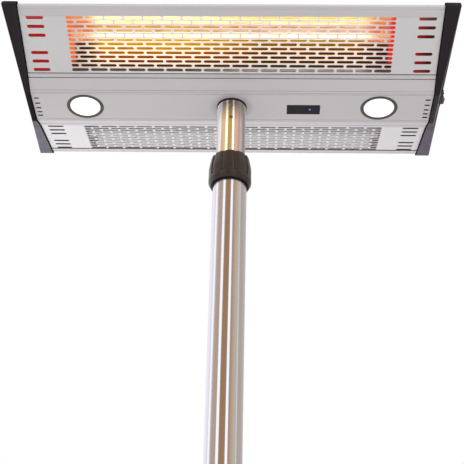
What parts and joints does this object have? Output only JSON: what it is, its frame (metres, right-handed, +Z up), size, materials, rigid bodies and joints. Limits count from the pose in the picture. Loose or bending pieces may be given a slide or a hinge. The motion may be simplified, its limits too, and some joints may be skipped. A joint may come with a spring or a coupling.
{
  "type": "infrared patio heater",
  "caption": "Free-standing infrared patio heater: a long two-winged heater head with slotted grilles and work lights on a telescoping round mast with a twist collar.",
  "frame": {"origin": "on the floor, under the mast axis, at the centre of the round base", "axes": "+Z up the mast, +X along the head towards the end with the mains rocker, -Y towards the lit wing"},
  "size_m": [0.9032, 0.5, 2.086],
  "materials": {
    "spine_aluminium": "silver anodised extrusion",
    "rail_aluminium": "silver anodised extrusion",
    "grille_plate": "silver powder coat, pierced",
    "roof_sheet": "silver powder coat",
    "roof_fasteners": "zinc plated",
    "cap_plastic": "black, fine grained",
    "switch_plastic": "black",
    "switch_case": "black",
    "reflector_metal": "bright rolled aluminium",
    "quartz_lit": "clear quartz, glowing",
    "quartz": "clear quartz",
    "filament_lit": "glowing tungsten",
    "filament": "tungsten wire",
    "holder_ceramic": "white steatite",
    "light_bezel": "dark bronze grey",
    "light_lens": "frosted, lit",
    "light_board": "white circuit board",
    "light_housing": "die cast",
    "window_black": "black window",
    "indicator_blue": "lit blue",
    "circuit_board": "green circuit board",
    "standoff_brass": "turned",
    "terminal_plastic": "white",
    "tilt_switch_plastic": "black",
    "socket_casting": "sand cast",
    "steel_fasteners": "zinc plated",
    "mast_stainless": "polished stainless",
    "gasket_rubber": "black",
    "guide_nylon": "natural nylon",
    "plug_plastic": "black",
    "collar_plastic": "black, satin",
    "base_stainless": "brushed stainless",
    "trim_plastic": "black, satin",
    "weight_iron": "black painted casting",
    "flange_steel": "black painted steel",
    "foot_rubber": "black",
    "gland_plastic": "black nylon"
  },
  "bodies": {
    "base": {"base_weight": "weight_iron", "rubber_feet": "foot_rubber", "base_cover": "base_stainless", "mast_flange": "flange_steel", "flange_bolts": "steel_fasteners", "base_trim_ring": "trim_plastic", "lower_tube": "mast_stainless", "cable_gland": "gland_plastic", "gland_nut": "gland_plastic", "clamp_body": "collar_plastic", "clamp_collet": "guide_nylon"},
    "collar": {"clamp_collar": "collar_plastic"},
    "carriage": {"slide_guide": "guide_nylon"},
    "head": {"upper_tube": "mast_stainless", "mast_screws": "steel_fasteners", "guide_stop_ring": "plug_plastic", "tube_end_plug": "plug_plastic", "mast_gasket": "gasket_rubber", "mast_socket": "socket_casting", "socket_bolts": "steel_fasteners", "spine_panel": "spine_aluminium", "rear_rail": "rail_aluminium", "front_rail": "rail_aluminium", "rear_grille": "grille_plate", "front_grille": "grille_plate", "roof_panel": "roof_sheet", "roof_screws": "roof_fasteners", "left_end_cap": "cap_plastic", "right_end_cap": "cap_plastic", "switch_frame": "switch_plastic", "switch_body": "switch_case", "rear_reflector": "reflector_metal", "front_reflector": "reflector_metal", "rear_lamp": "quartz", "front_lamp": "quartz_lit", "rear_filament": "filament", "front_filament": "filament_lit", "rear_lamp_holders": "holder_ceramic", "front_lamp_holders": "holder_ceramic", "left_light_bezel": "light_bezel", "right_light_bezel": "light_bezel", "left_light_lens": "light_lens", "right_light_lens": "light_lens", "left_light_board": "light_board", "right_light_board": "light_board", "left_light_housing": "light_housing", "right_light_housing": "light_housing", "display_window": "window_black", "status_indicator": "indicator_blue", "receiver_board": "circuit_board", "board_standoffs": "standoff_brass", "control_board": "circuit_board", "terminal_block": "terminal_plastic", "tilt_switch": "tilt_switch_plastic"},
    "rocker": {"power_rocker": "switch_plastic"}
  },
  "joints": [
    {"name": "mast_slide", "type": "slide", "parent": "base", "child": "carriage", "axis": [0, 0, 1], "range_m": [0, 0.3]},
    {"name": "head_swivel", "type": "hinge", "parent": "carriage", "child": "head", "pos_m": [0, 0, 1.49], "axis": [0, 0, 1], "range_deg": [-180, 180]},
    {"name": "collar_twist", "type": "hinge", "parent": "base", "child": "collar", "pos_m": [0, 0, 1.81], "axis": [0, 0, 1], "range_deg": [0, 90]},
    {"name": "power_rocker_tilt", "type": "hinge", "parent": "head", "child": "rocker", "pos_m": [0.44285, 0.0125, 2.023], "axis": [0.309, 0, 0.9511], "range_deg": [0, 24]}
  ]
}
